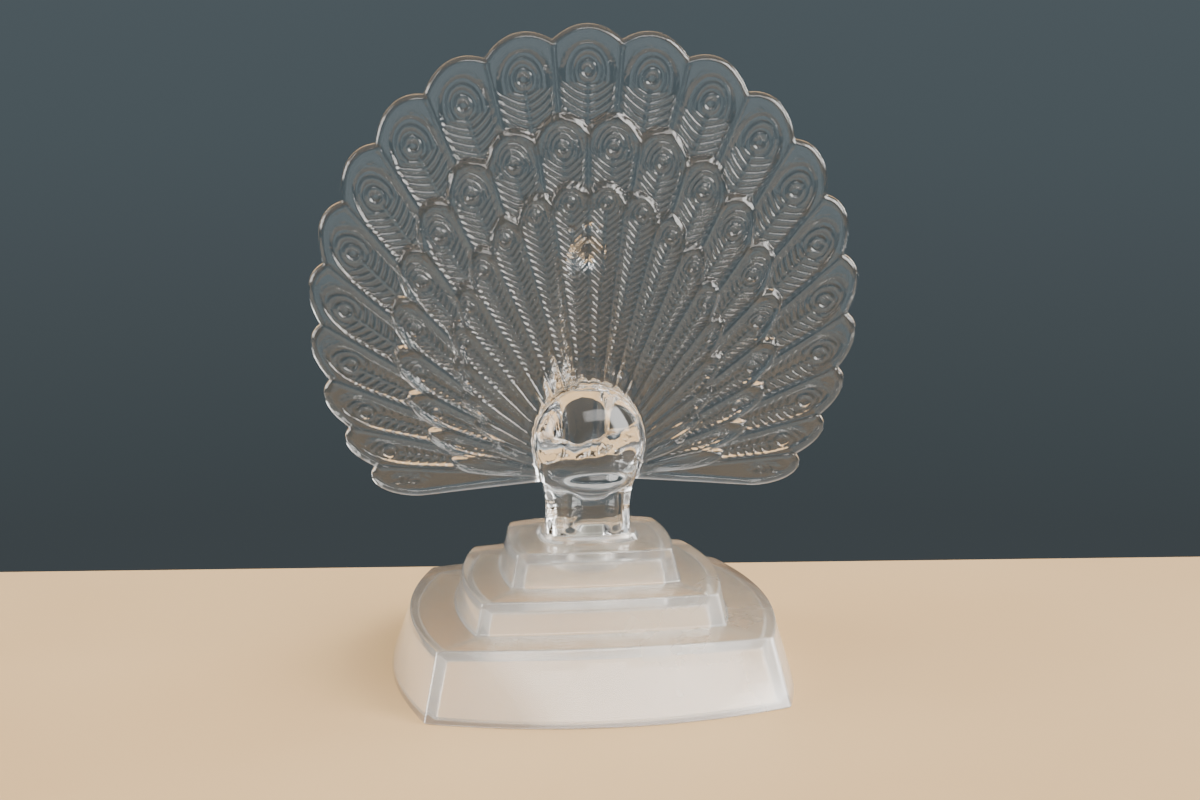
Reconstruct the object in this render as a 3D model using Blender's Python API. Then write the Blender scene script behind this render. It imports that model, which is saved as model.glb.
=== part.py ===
"""Pressed-glass peacock on a hollow, three-step satin-glass plinth.

Frame: metres, +Z up, +X to the right of the fan's smooth-rump side, +Y to the
bird's breast and head. The origin is the centre of the ground rim that the
plinth stands on.

Pieces, each its own solid:
  plinth      hollow pressed-glass stand, ground flat underneath
  peacock     fan, rump, stem, breast, neck and head in one clear pressing
  cement_bed  setting cement that holds the peacock's tenon in the plinth
"""

import math

import bmesh
import bpy
from mathutils import Matrix, Vector

# ---- driving dimensions --------------------------------------------------

GAP = 0.0003                # clearance between two pieces that touch
OVERLAP = 0.0020            # how deep one shape runs into the next before they are joined
SHARP_ANGLE = 35.0          # edges bent more than this are shaded as corners, degrees
ROUND_SEGMENTS = 32         # sides of the tenon, its socket and the cement

# Fan: three rows of feathers that spread from one root.
FAN_ROOT_Z = 0.090          # the quills of every row aim at this height
FAN_FACE_Y = 0.0030         # rump side of the outer row
FAN_THICKNESS = 0.0055      # of the outer row
ROW_STEP = 0.0009           # each inner row stands this much prouder, both sides
# Each row: feathers, pitch in degrees, the oval through its tips (centre height,
# half width, half height), scallop depth, and how far from the root it starts.
OUTER_ROW = (21, 9.00, 0.1710, 0.1285, 0.1290, 0.0062, 0.008)
MIDDLE_ROW = (20, 8.75, 0.1660, 0.0915, 0.0950, 0.0070, 0.010)
INNER_ROW = (20, 7.55, 0.1570, 0.0640, 0.0730, 0.0055, 0.012)
POINTS_PER_FEATHER = 8
END_FEATHER_ROUNDING = 0.15  # how far the last feather's lower corner is cut

# Body, all on the plane X = 0.
BODY_Y = 0.009              # middle of the stem, front to back
RUMP_CENTRE = (0.0, 0.003, 0.1070)
RUMP_RADII = (0.0265, 0.0200, 0.0275)
BREAST_CENTRE = (0.0, 0.015, 0.1000)
BREAST_RADII = (0.0215, 0.0225, 0.0200)
HEAD_CENTRE = (0.0, 0.0110, 0.1930)
HEAD_RADII = (0.0090, 0.0070, 0.0095)
# Neck: height, distance of its middle in front of the fan's middle, radius.
NECK_STATIONS = (
    (0.1000, 0.0100, 0.0150),
    (0.1080, 0.0095, 0.0145),
    (0.1160, 0.0090, 0.0130),
    (0.1260, 0.0080, 0.0120),
    (0.1400, 0.0065, 0.0105),
    (0.1500, 0.0055, 0.0095),
    (0.1660, 0.0045, 0.0085),
    (0.1820, 0.0038, 0.0078),
    (0.1930, 0.0040, 0.0075),
)
NECK_SEGMENTS = 24
BEAK_LENGTH = 0.0090
BEAK_RADIUS = 0.0036
BEAK_TIP_RADIUS = 0.0008
BEAK_DIRECTION = (0.0, 1.0, -0.5)   # forward and a little down
BEAK_SETBACK = 0.0030       # from the front of the head back to the beak's root
CREST_PLUMES = (-26.0, 0.0, 26.0)   # lean of each crest plume, degrees
CREST_LENGTH = 0.0180
CREST_RADIUS = 0.0030       # at the tip
CREST_ROOT_RADIUS = 0.0012
CREST_STAND_OFF = 0.0010    # plumes' middle in front of the fan's breast side

# Stem: height, half width, half depth, from the foot up into the rump.
STEM_STATIONS = (
    (0.0613, 0.0198, 0.0148),
    (0.0660, 0.0200, 0.0150),
    (0.0740, 0.0203, 0.0156),
    (0.0820, 0.0212, 0.0166),
    (0.0900, 0.0224, 0.0178),
    (0.0980, 0.0230, 0.0184),
)
STEM_SQUARENESS = 3.6       # exponent of its rounded-rectangle section
STEM_SEGMENTS = 32

# Tenon, cement and socket.
TENON_RADIUS = 0.0100
TENON_LENGTH = 0.0090
CEMENT_THICKNESS = 0.0014
SOCKET_BOSS_WALL = 0.0045
SOCKET_BOSS_DRAFT = 0.0010  # the boss is this much wider at its top

# Plinth. A tier's outline: half width at the front and back corners, front and
# back corner positions along Y, and how far the front, back and sides bow out.
TIER_1_FOOT = (0.0820, 0.0820, -0.0740, 0.0750, 0.0150, 0.0140, 0.0120)
TIER_1_TOP = (0.0755, 0.0720, -0.0635, 0.0655, 0.0050, 0.0120, 0.0115)
TIER_2_FOOT = (0.0570, 0.0560, -0.0455, 0.0495, 0.0028, 0.0090, 0.0070)
TIER_2_TOP = (0.0540, 0.0525, -0.0435, 0.0475, 0.0025, 0.0090, 0.0070)
TIER_3_FOOT = (0.0390, 0.0385, -0.0238, 0.0362, 0.0028, 0.0080, 0.0030)
TIER_3_TOP = (0.0360, 0.0350, -0.0215, 0.0340, 0.0028, 0.0080, 0.0030)
TIER_1_HEIGHT = 0.0300
TIER_2_HEIGHT = 0.0450
TIER_3_HEIGHT = 0.0610
EDGE_ROUND = 0.0015         # softening along the top edge of each step
CORNER_CUT = 0.0035         # softening of the upright corners
WALL = 0.0062               # side walls
ROOF = 0.0060               # treads and roof
POINTS_PER_SIDE = 9
COLLAR_WIDTH = 0.0026       # raised lip round the foot of the stem
COLLAR_HEIGHT = 0.0030
COLLAR_SLOPE = 0.0010       # its side leans this much either way of upright


# ---- scene and materials -------------------------------------------------

def clear_scene():
    for old in list(bpy.data.objects):
        bpy.data.objects.remove(old, do_unlink=True)


def glass_material(name, colour, roughness, transmission):
    material = bpy.data.materials.new(name)
    material.use_nodes = True
    shader = material.node_tree.nodes["Principled BSDF"]
    shader.inputs["Base Color"].default_value = (*colour, 1.0)
    shader.inputs["Roughness"].default_value = roughness
    shader.inputs["Metallic"].default_value = 0.0
    shader.inputs["IOR"].default_value = 1.52
    shader.inputs["Transmission Weight"].default_value = transmission
    return material


def add_object(name, mesh, material):
    obj = bpy.data.objects.new(name, mesh)
    obj.data.materials.append(material)
    bpy.context.scene.collection.objects.link(obj)
    return obj


# ---- mesh helpers --------------------------------------------------------

def mesh_from(bm, name):
    bmesh.ops.recalc_face_normals(bm, faces=bm.faces)
    mesh = bpy.data.meshes.new(name)
    bm.to_mesh(mesh)
    bm.free()
    return mesh


def loft(rings, name):
    """Closed solid through rings of equal point count, listed bottom to top."""
    bm = bmesh.new()
    layers = [[bm.verts.new(point) for point in ring] for ring in rings]
    count = len(rings[0])
    for lower, upper in zip(layers, layers[1:]):
        for i in range(count):
            j = (i + 1) % count
            bm.faces.new((lower[i], lower[j], upper[j], upper[i]))
    bm.faces.new(list(reversed(layers[0])))
    bm.faces.new(layers[-1])
    return mesh_from(bm, name)


def ellipsoid(centre, radii, segments, rings, name):
    bm = bmesh.new()
    bmesh.ops.create_uvsphere(bm, u_segments=segments, v_segments=rings, radius=1.0)
    bmesh.ops.scale(bm, vec=radii, verts=bm.verts)
    bmesh.ops.translate(bm, vec=centre, verts=bm.verts)
    return mesh_from(bm, name)


def cone(radius_low, radius_high, base, direction, length, segments, name):
    """Tapered pin from base along direction."""
    bm = bmesh.new()
    bmesh.ops.create_cone(bm, cap_ends=True, segments=segments,
                          radius1=radius_low, radius2=radius_high, depth=length)
    bmesh.ops.translate(bm, vec=(0, 0, length / 2), verts=bm.verts)
    turn = Vector((0, 0, 1)).rotation_difference(Vector(direction)).to_matrix().to_4x4()
    bmesh.ops.transform(bm, matrix=Matrix.Translation(base) @ turn, verts=bm.verts)
    return mesh_from(bm, name)


def boolean(target, tool_mesh, operation):
    """Join or cut target with a hidden guide that keeps the EXACT solver."""
    tool = bpy.data.objects.new("guide_" + tool_mesh.name, tool_mesh)
    bpy.context.scene.collection.objects.link(tool)
    tool.hide_render = True
    tool.display_type = "WIRE"
    modifier = target.modifiers.new(operation.lower() + "_" + tool_mesh.name, "BOOLEAN")
    modifier.operation = operation
    modifier.solver = "EXACT"
    modifier.object = tool


def shade(obj):
    obj.data.shade_smooth()
    obj.data.set_sharp_from_angle(angle=math.radians(SHARP_ANGLE))


# ---- plinth --------------------------------------------------------------

def bowed_side(start, end, bow):
    """Points along an arc from start to end that bows out to its right."""
    start = Vector(start)
    end = Vector(end)
    chord = end - start
    outward = Vector((chord.y, -chord.x)).normalized()
    trim = CORNER_CUT / chord.length
    points = []
    for i in range(POINTS_PER_SIDE + 1):
        t = trim + (1 - 2 * trim) * i / POINTS_PER_SIDE
        points.append(start + chord * t + outward * (4 * bow * t * (1 - t)))
    return points


def tier_outline(tier, inset, z):
    """Ring of points round one tier, anticlockwise from above."""
    front_half, back_half, front_y, back_y, front_bow, back_bow, side_bow = tier
    front_half -= inset
    back_half -= inset
    front_y += inset
    back_y -= inset
    front_left = (-front_half, front_y)
    front_right = (front_half, front_y)
    back_right = (back_half, back_y)
    back_left = (-back_half, back_y)
    ring = bowed_side(front_left, front_right, front_bow)
    ring += bowed_side(front_right, back_right, side_bow)
    ring += bowed_side(back_right, back_left, back_bow)
    ring += bowed_side(back_left, front_left, side_bow)
    return [(point.x, point.y, z) for point in ring]


def plinth_body():
    rings = []
    for foot, top, low, high in (
        (TIER_1_FOOT, TIER_1_TOP, 0.0, TIER_1_HEIGHT),
        (TIER_2_FOOT, TIER_2_TOP, TIER_1_HEIGHT, TIER_2_HEIGHT),
        (TIER_3_FOOT, TIER_3_TOP, TIER_2_HEIGHT, TIER_3_HEIGHT),
    ):
        rings.append(tier_outline(foot, 0.0, low))
        rings.append(tier_outline(top, 0.0, high - EDGE_ROUND))
        rings.append(tier_outline(top, EDGE_ROUND, high))
    return loft(rings, "plinth_body")


def plinth_hollow():
    """The space inside, one stepped chamber open to the ground."""
    rings = [tier_outline(TIER_1_FOOT, WALL, -OVERLAP)]
    for foot, top, low, high in (
        (TIER_1_FOOT, TIER_1_TOP, 0.0, TIER_1_HEIGHT),
        (TIER_2_FOOT, TIER_2_TOP, TIER_1_HEIGHT - ROOF, TIER_2_HEIGHT),
        (TIER_3_FOOT, TIER_3_TOP, TIER_2_HEIGHT - ROOF, TIER_3_HEIGHT),
    ):
        rings.append(tier_outline(foot, WALL, low))
        rings.append(tier_outline(top, WALL + EDGE_ROUND, high - ROOF))
    return loft(rings, "plinth_hollow")


def socket_floor_z():
    return STEM_STATIONS[0][0] - TENON_LENGTH - CEMENT_THICKNESS - 2 * GAP


def stem_ring(half_width, half_depth, z):
    """Rounded-rectangle section of the stem or of the collar round it."""
    ring = []
    for i in range(STEM_SEGMENTS):
        angle = 2 * math.pi * (i + 0.5) / STEM_SEGMENTS
        c = math.cos(angle)
        s = math.sin(angle)
        x = half_width * math.copysign(abs(c) ** (2 / STEM_SQUARENESS), c)
        y = half_depth * math.copysign(abs(s) ** (2 / STEM_SQUARENESS), s)
        ring.append((x, BODY_Y + y, z))
    return ring


def collar_body():
    """Low lip on the roof, later bored out to clear the stem."""
    _, half_width, half_depth = STEM_STATIONS[1]
    low = GAP + COLLAR_WIDTH + COLLAR_SLOPE
    high = GAP + COLLAR_WIDTH - COLLAR_SLOPE
    rings = [
        stem_ring(half_width + low, half_depth + low, TIER_3_HEIGHT - OVERLAP),
        stem_ring(half_width + low, half_depth + low, TIER_3_HEIGHT + GAP),
        stem_ring(half_width + high, half_depth + high, TIER_3_HEIGHT + COLLAR_HEIGHT),
    ]
    return loft(rings, "collar")


def collar_bore():
    _, half_width, half_depth = STEM_STATIONS[1]
    rings = [
        stem_ring(half_width + GAP, half_depth + GAP, z)
        for z in (TIER_3_HEIGHT, TIER_3_HEIGHT + 2 * COLLAR_HEIGHT)
    ]
    return loft(rings, "collar_bore")


def build_plinth(material):
    plinth = add_object("plinth", plinth_body(), material)
    boolean(plinth, plinth_hollow(), "DIFFERENCE")
    socket_radius = TENON_RADIUS + CEMENT_THICKNESS + 2 * GAP
    boss_low = socket_floor_z() - SOCKET_BOSS_WALL
    boss_radius = socket_radius + SOCKET_BOSS_WALL
    boss = cone(boss_radius, boss_radius + SOCKET_BOSS_DRAFT, (0, BODY_Y, boss_low),
                (0, 0, 1), TIER_3_HEIGHT - OVERLAP - boss_low, ROUND_SEGMENTS, "socket_boss")
    boolean(plinth, boss, "UNION")
    boolean(plinth, collar_body(), "UNION")
    boolean(plinth, collar_bore(), "DIFFERENCE")
    socket = cone(socket_radius, socket_radius, (0, BODY_Y, socket_floor_z()), (0, 0, 1),
                  TIER_3_HEIGHT + OVERLAP - socket_floor_z(), ROUND_SEGMENTS, "socket")
    boolean(plinth, socket, "DIFFERENCE")
    shade(plinth)


# ---- cement --------------------------------------------------------------

def build_cement_bed(material):
    """A cup of cement: the socket's shape outside, the tenon's inside."""
    outer = TENON_RADIUS + CEMENT_THICKNESS + GAP
    floor = socket_floor_z() + GAP
    top = TIER_3_HEIGHT - GAP
    cup = cone(outer, outer, (0, BODY_Y, floor), (0, 0, 1), top - floor, ROUND_SEGMENTS,
               "cement_bed")
    bed = add_object("cement_bed", cup, material)
    hollow = cone(TENON_RADIUS + GAP, TENON_RADIUS + GAP,
                  (0, BODY_Y, floor + CEMENT_THICKNESS), (0, 0, 1), top - floor,
                  ROUND_SEGMENTS, "cement_hollow")
    boolean(bed, hollow, "DIFFERENCE")
    shade(bed)


# ---- peacock -------------------------------------------------------------

def reach(angle, centre_z, half_width, half_height):
    """Distance from the fan's root to a row's tip oval at an angle from +Z."""
    rise = (centre_z - FAN_ROOT_Z) / half_height
    across = math.sin(angle) / half_width
    up = math.cos(angle) / half_height
    square = across ** 2 + up ** 2
    return (rise * up + math.sqrt(square - (across * rise) ** 2)) / square


def row_outline(row):
    """Scalloped edge of one row of feathers, as (x, z) points left to right."""
    feathers, pitch_degrees, centre_z, half_width, half_height, scallop, start = row
    pitch = math.radians(pitch_degrees)
    points = []
    for feather in range(feathers):
        axis = (feather - (feathers - 1) / 2) * pitch
        outermost = feather in (0, feathers - 1)
        for step in range(POINTS_PER_FEATHER + (feather == feathers - 1)):
            across = 2 * step / POINTS_PER_FEATHER - 1
            angle = axis + across * pitch / 2
            length = reach(angle, centre_z, half_width, half_height) - scallop * across ** 2
            if outermost and across * axis > 0:
                length *= 1 - END_FEATHER_ROUNDING * across ** 4
            points.append((length * math.sin(angle), FAN_ROOT_Z + length * math.cos(angle)))
    half_spread = feathers * pitch / 2
    for step in range(5):
        angle = half_spread * (1 - step / 2)
        points.append((start * math.sin(angle), FAN_ROOT_Z + start * math.cos(angle)))
    return points


def row_plate(row, level, name):
    """Flat plate with a row's outline; level counts inward from the outer row."""
    near = FAN_FACE_Y - level * ROW_STEP
    far = FAN_FACE_Y + FAN_THICKNESS + level * ROW_STEP
    outline = row_outline(row)
    rings = [[(x, y, z) for x, z in outline] for y in (near, far)]
    return loft(rings, name)


def stem_mesh():
    return loft([stem_ring(w, d, z) for z, w, d in STEM_STATIONS], "stem")


def neck_mesh():
    middle = FAN_FACE_Y + FAN_THICKNESS / 2
    rings = []
    for z, forward, radius in NECK_STATIONS:
        ring = []
        for i in range(NECK_SEGMENTS):
            angle = 2 * math.pi * (i + 0.5) / NECK_SEGMENTS
            x = radius * math.cos(angle)
            y = middle + forward + radius * math.sin(angle)
            ring.append((x, y, z))
        rings.append(ring)
    return loft(rings, "neck")


def build_peacock(material):
    peacock = add_object("peacock", row_plate(OUTER_ROW, 0, "fan_outer_row"), material)
    boolean(peacock, row_plate(MIDDLE_ROW, 1, "middle_row"), "UNION")
    boolean(peacock, row_plate(INNER_ROW, 2, "inner_row"), "UNION")
    boolean(peacock, stem_mesh(), "UNION")
    boolean(peacock, ellipsoid(RUMP_CENTRE, RUMP_RADII, 32, 18, "rump"), "UNION")
    boolean(peacock, ellipsoid(BREAST_CENTRE, BREAST_RADII, 28, 16, "breast"), "UNION")
    boolean(peacock, neck_mesh(), "UNION")
    boolean(peacock, ellipsoid(HEAD_CENTRE, HEAD_RADII, 20, 12, "head"), "UNION")
    beak_root = (0, HEAD_CENTRE[1] + HEAD_RADII[1] - BEAK_SETBACK, HEAD_CENTRE[2])
    beak = cone(BEAK_RADIUS, BEAK_TIP_RADIUS, beak_root, BEAK_DIRECTION, BEAK_LENGTH, 12,
                "beak")
    boolean(peacock, beak, "UNION")
    for number, lean in enumerate(CREST_PLUMES):
        lean = math.radians(lean)
        base = (0, FAN_FACE_Y + FAN_THICKNESS + CREST_STAND_OFF, HEAD_CENTRE[2])
        plume = cone(CREST_ROOT_RADIUS, CREST_RADIUS, base,
                     (math.sin(lean), 0, math.cos(lean)), CREST_LENGTH, 10,
                     "plume_%d" % number)
        boolean(peacock, plume, "UNION")
    foot_z = STEM_STATIONS[0][0]
    tenon = cone(TENON_RADIUS, TENON_RADIUS, (0, BODY_Y, foot_z - TENON_LENGTH),
                 (0, 0, 1), TENON_LENGTH + OVERLAP, ROUND_SEGMENTS, "tenon")
    boolean(peacock, tenon, "UNION")
    shade(peacock)


# ---- assembly ------------------------------------------------------------

clear_scene()
build_plinth(glass_material("satin_glass", (0.80, 0.79, 0.76), 0.45, 0.85))
build_peacock(glass_material("clear_glass", (0.93, 0.95, 0.95), 0.03, 1.0))
build_cement_bed(glass_material("setting_cement", (0.72, 0.70, 0.65), 0.80, 0.0))
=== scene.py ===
"""Looks of the pressed-glass peacock ornament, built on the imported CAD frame."""

import math

import bmesh
import bpy
import numpy as np
from mathutils import Matrix, Vector
from mathutils.geometry import delaunay_2d_cdt


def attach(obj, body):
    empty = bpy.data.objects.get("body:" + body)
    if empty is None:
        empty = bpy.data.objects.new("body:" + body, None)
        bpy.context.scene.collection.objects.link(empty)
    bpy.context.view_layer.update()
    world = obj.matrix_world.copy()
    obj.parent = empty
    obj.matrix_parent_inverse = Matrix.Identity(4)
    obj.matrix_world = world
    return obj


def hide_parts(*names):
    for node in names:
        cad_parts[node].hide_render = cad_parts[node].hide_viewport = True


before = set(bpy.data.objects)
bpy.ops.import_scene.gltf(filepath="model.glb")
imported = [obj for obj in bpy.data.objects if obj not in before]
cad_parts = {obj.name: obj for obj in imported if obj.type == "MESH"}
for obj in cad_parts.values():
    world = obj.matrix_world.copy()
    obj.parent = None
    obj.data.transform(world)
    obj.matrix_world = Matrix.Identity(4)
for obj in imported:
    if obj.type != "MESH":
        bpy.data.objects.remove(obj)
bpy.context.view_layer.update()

MM = 0.001

# ---- dimensions shared with the CAD --------------------------------------

ROOT_Z = 90.0 * MM              # the quills of every row aim at this height
FAN_NEAR_Y = 3.0 * MM           # rump side of the outer row
FAN_FAR_Y = 8.5 * MM            # breast side of the outer row
FAN_MID_Y = (FAN_NEAR_Y + FAN_FAR_Y) / 2
ROW_STEP = 0.9 * MM             # each inner row stands this much prouder
OUTER_EDGE_ANGLE = math.radians(95.0)   # the outer row's last feathers run on to here
BODY_Y = 9.0 * MM               # the stem, tenon and socket stand on this line
STEM_FOOT_Z = 61.3 * MM         # a hair above the top tier
TENON_LENGTH = 9.0 * MM
TENON_RADIUS = 10.0 * MM
CEMENT_FLOOR = 1.4 * MM         # cement under the tenon
JOINT_GAP = 0.3 * MM            # left between touching pieces
SOCKET_RADIUS = 12.0 * MM

# ---- dimensions of the visual relief -------------------------------------

GRID = 0.44 * MM                # spacing of the fan's height field
RIM_RADIUS = 2.9 * MM           # rounding of the fan's outer edge
RIM_RINGS = 8
HUB_Z = 125.0 * MM              # the fan's outline is star-shaped about this point
OUTLINE_POINTS = 1500
NEAR_STEP = 3.8 * MM            # width of the slope up to the next row, near side
FAR_STEP = 9.0 * MM
FAR_STRENGTH = 0.30             # the far side's relief as a share of the near side's


class Row:
    """One row of feathers: its outline and its pressed pattern."""

    def __init__(self, count, pitch, centre_z, half_width, half_height, scallop, level,
                 roundness, tip_band, side_band, shoulder, eye_top, eye_side, boss, rings,
                 barb, depth):
        self.count = count
        self.pitch = math.radians(pitch)
        self.centre_z = centre_z * MM
        self.half_width = half_width * MM
        self.half_height = half_height * MM
        self.scallop = scallop * MM
        self.level = level              # counts inward from the outer row
        self.roundness = roundness      # 0 for a parabola, towards 1 for a half circle
        self.tip_band = tip_band * MM   # plain band from the tip to the vane
        self.side_band = side_band * MM  # plain band along a feather's side
        self.shoulder = shoulder * MM   # how softly the vane turns at its tip
        self.eye_top = eye_top * MM     # tip to eye on the fan's crown
        self.eye_side = eye_side * MM   # tip to eye on the fan's flanks
        self.boss = boss * MM           # radius of the eye's centre
        self.rings = rings              # ridges between the eye and the vane's edge
        self.barb = barb * MM           # spacing of the barbs
        self.depth = depth * MM         # how far the vane is sunk

    def reach(self, angle):
        rise = (self.centre_z - ROOT_Z) / self.half_height
        across = np.sin(angle) / self.half_width
        up = np.cos(angle) / self.half_height
        square = across ** 2 + up ** 2
        return (rise * up + np.sqrt(np.maximum(square - (across * rise) ** 2, 0.0))) / square

    def length(self, angle):
        """Distance from the root to the row's scalloped edge."""
        slot = np.clip(np.round(angle / self.pitch + (self.count - 1) / 2), 0, self.count - 1)
        axis = (slot - (self.count - 1) / 2) * self.pitch
        across = np.clip(2 * (angle - axis) / self.pitch, -1.4, 1.4)
        square = across ** 2
        if self.roundness > 0:
            square = ((1 - np.sqrt(1 - self.roundness * np.minimum(square, 1.0)))
                      / (1 - math.sqrt(1 - self.roundness)))
        # The notches between tips are deeper towards the fan's flanks.
        notch = self.scallop * (1 + (0.40 * np.abs(axis) / 1.6 if self.level else 0.0))
        return self.reach(angle) - notch * square, axis, across

    def half_spread(self):
        return OUTER_EDGE_ANGLE if self.level == 0 else self.count * self.pitch / 2


OUTER = Row(21, 9.00, 171.0, 128.5, 129.0, 6.2, 0, 0.0,
            6.2, 1.5, 9.0, 21.0, 17.0, 2.9, 3.0, 3.9, 1.10)
MIDDLE = Row(20, 8.75, 166.0, 91.5, 95.0, 7.0, 1, 0.60,
             4.6, 1.4, 7.0, 16.0, 11.5, 2.6, 4.0, 3.3, 0.95)
INNER = Row(20, 7.55, 157.0, 64.0, 73.0, 5.5, 2, 0.85,
            3.4, 1.0, 4.5, 10.0, 7.0, 2.0, 3.0, 3.1, 0.55)


# ---- numeric helpers -----------------------------------------------------

def ease(value):
    """Smooth step from 0 to 1 over the unit interval."""
    value = np.clip(value, 0.0, 1.0)
    return value * value * (3 - 2 * value)


def soft_min(a, b, width):
    blend = np.maximum(width - np.abs(a - b), 0.0) / width
    return np.minimum(a, b) - blend * blend * width / 4


def soft_max(a, b, width):
    return -soft_min(-a, -b, width)


def dome(distance, width):
    """Quarter-round profile: 0 at the edge, 1 from width inwards."""
    inward = np.clip(distance / width, 0.0, 1.0)
    return np.sqrt(np.maximum(1 - (1 - inward) ** 2, 0.0))


# ---- fan outline ---------------------------------------------------------

def fan_outline_radius(bearing):
    """Distance from the hub to the fan's edge at a bearing from +Z."""
    low = np.full_like(bearing, 20.0 * MM)
    high = np.full_like(bearing, 190.0 * MM)
    for _ in range(44):
        middle = (low + high) / 2
        x = middle * np.sin(bearing)
        z = HUB_Z + middle * np.cos(bearing)
        inside = fan_inside(x, z) > 0
        low = np.where(inside, middle, low)
        high = np.where(inside, high, middle)
    return (low + high) / 2


def fan_inside(x, z):
    """Positive inside the fan, roughly a distance in metres."""
    rise = z - ROOT_Z
    radius = np.hypot(x, rise)
    angle = np.arctan2(x, rise)
    length, _, _ = OUTER.length(angle)
    tips = length - radius
    side = radius * np.sin(np.clip(OUTER_EDGE_ANGLE - np.abs(angle), -1.5, 1.5))
    side = np.where(radius < 12.0 * MM, np.maximum(side, rise + 6.0 * MM), side)
    return soft_min(tips, side, 7.0 * MM)


# ---- fan relief ----------------------------------------------------------

def row_relief(row, x, z, strength):
    """Height of a row's face above its flat level, and its inward distance."""
    rise = z - ROOT_Z
    radius = np.hypot(x, rise)
    angle = np.arctan2(x, rise)
    length, axis, across = row.length(angle)
    lean = angle - axis
    slope = 4 * row.scallop * across / row.pitch / np.maximum(radius, 5 * MM)
    tip = (length - radius) / np.sqrt(1 + slope ** 2)
    flank = radius * np.sin(np.clip(row.half_spread() - np.abs(angle), -1.5, 1.5))
    tip = soft_min(tip, flank, 3.0 * MM)
    side = radius * np.sin(np.clip(row.pitch / 2 - np.abs(lean), -0.5, 0.5))
    beyond = np.abs(across) > 1
    if row.level == 0:
        # The two last feathers run on to the fan's lower edge.
        beyond |= (np.abs(axis) > 1.5) & (lean * axis > 0)
    side = np.where(beyond, flank, side)
    width = radius * row.pitch / 2
    shrink = ease((width - 0.8 * MM) / (3.2 * MM))

    # Coordinates about the feather's eye, along and across its quill.
    crown = (1 + np.cos(axis)) / 2
    eye_drop = row.eye_side + (row.eye_top - row.eye_side) * crown
    eye_radius = row.reach(axis) - eye_drop
    along = radius * np.cos(lean) - eye_radius
    aside = radius * np.sin(lean)
    vane_tip = along / (0.75 * eye_drop) + 0.1

    band = row.side_band * (0.55 + 0.45 * shrink)
    vane = soft_min(tip - row.tip_band, side - band, row.shoulder * (0.25 + 0.75 * shrink))
    wall = 1.7 * MM * (0.45 + 0.55 * shrink)
    sunk = ease(vane / wall)
    relief = -row.depth * (0.35 + 0.65 * shrink) * sunk * (1 - 0.62 * ease(vane_tip))
    # The plain band between two vanes is a low rounded rib.
    relief += 0.45 * MM * np.exp(-(side / (0.8 * MM)) ** 2) * (1 - sunk)
    relief += 0.16 * MM * np.exp(-((tip - 2.6 * MM) / (1.1 * MM)) ** 2) * (row.level == 0)

    # Eye: a boss, then ridges that widen from its circle into the vane's own outline.
    stretched = np.where(along > 0, along / 1.25, along)
    spread = np.hypot(aside, stretched)
    edge = np.maximum(vane, 0.0)
    ring_part = spread / np.maximum(spread + edge, 1e-6)
    boss_part = row.boss / np.maximum(row.boss + edge, 1e-6)
    phase = (ring_part - boss_part) / np.maximum(1 - boss_part, 0.2) * row.rings
    ridge = (0.5 + 0.5 * np.cos(2 * math.pi * phase)) ** 2.2
    bold = 1.4 if row.level else 1.0
    ring_ridges = bold * (0.50 * ridge - 0.16) * MM * (spread > row.boss * 0.9)
    boss = -0.62 * bold * MM * np.maximum(1 - (spread / row.boss) ** 2, 0.0)
    boss += 0.30 * MM * np.exp(-((spread - row.boss * 1.25) / (row.boss * 0.30)) ** 2)

    # Barbs: chevrons that sag towards the quill, and the quill itself.
    out = np.abs(aside)
    bend = (1.55, 1.35, 1.12)[row.level]
    half = np.maximum(width, 1 * MM)
    sag = (0.62 + 0.12 * row.level) * half * (out / half) ** bend
    comb = (0.5 + 0.5 * np.cos(2 * math.pi * (along - sag) / row.barb)) ** 2.4
    barbs = ((0.62 + 0.06 * (row.level > 0)) * comb - 0.18) * MM
    barbs = barbs * ease((out - 0.3 * MM) / (1.0 * MM))
    if row.level == 2:
        barbs = barbs * ease((radius - 44 * MM) / (22 * MM))
    quill = 0.40 * MM * np.exp(-(aside / (0.55 * MM)) ** 2)
    below = ease((-along - row.boss * 0.9) / (row.boss * 1.6))
    pattern = ring_ridges * (1 - below) + boss + (barbs + quill) * below
    relief += pattern * ease((vane + 0.5 * MM) / (1.4 * MM)) * shrink
    # Near the root only ribs and quills are left.
    root_quill = 0.30 * MM * np.exp(-(aside / (0.5 * MM)) ** 2) * (1 - shrink)
    relief += root_quill * sunk
    if row.level == 2:
        fine = np.cos(angle * 6 * math.pi / row.pitch)
        relief += 0.20 * MM * fine * ease((72 * MM - radius) / (24 * MM))
    return relief * strength, tip


def wobble(x, z):
    """Slow unevenness of the pressed surface."""
    return 0.035 * MM * (np.sin(x * 210 + 1.3) * np.sin(z * 170 + 0.4)
                         + 0.7 * np.sin(x * 95 - z * 130 + 2.1)
                         + 0.5 * np.sin(x * 330 + z * 290))


def rump_distance(x, z):
    """Distance outside the rump's outline on the fan, in metres."""
    return np.hypot(x / 25.0, (z - 107.0 * MM) / 26.5) * 26.0 - 26.0 * MM


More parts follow.
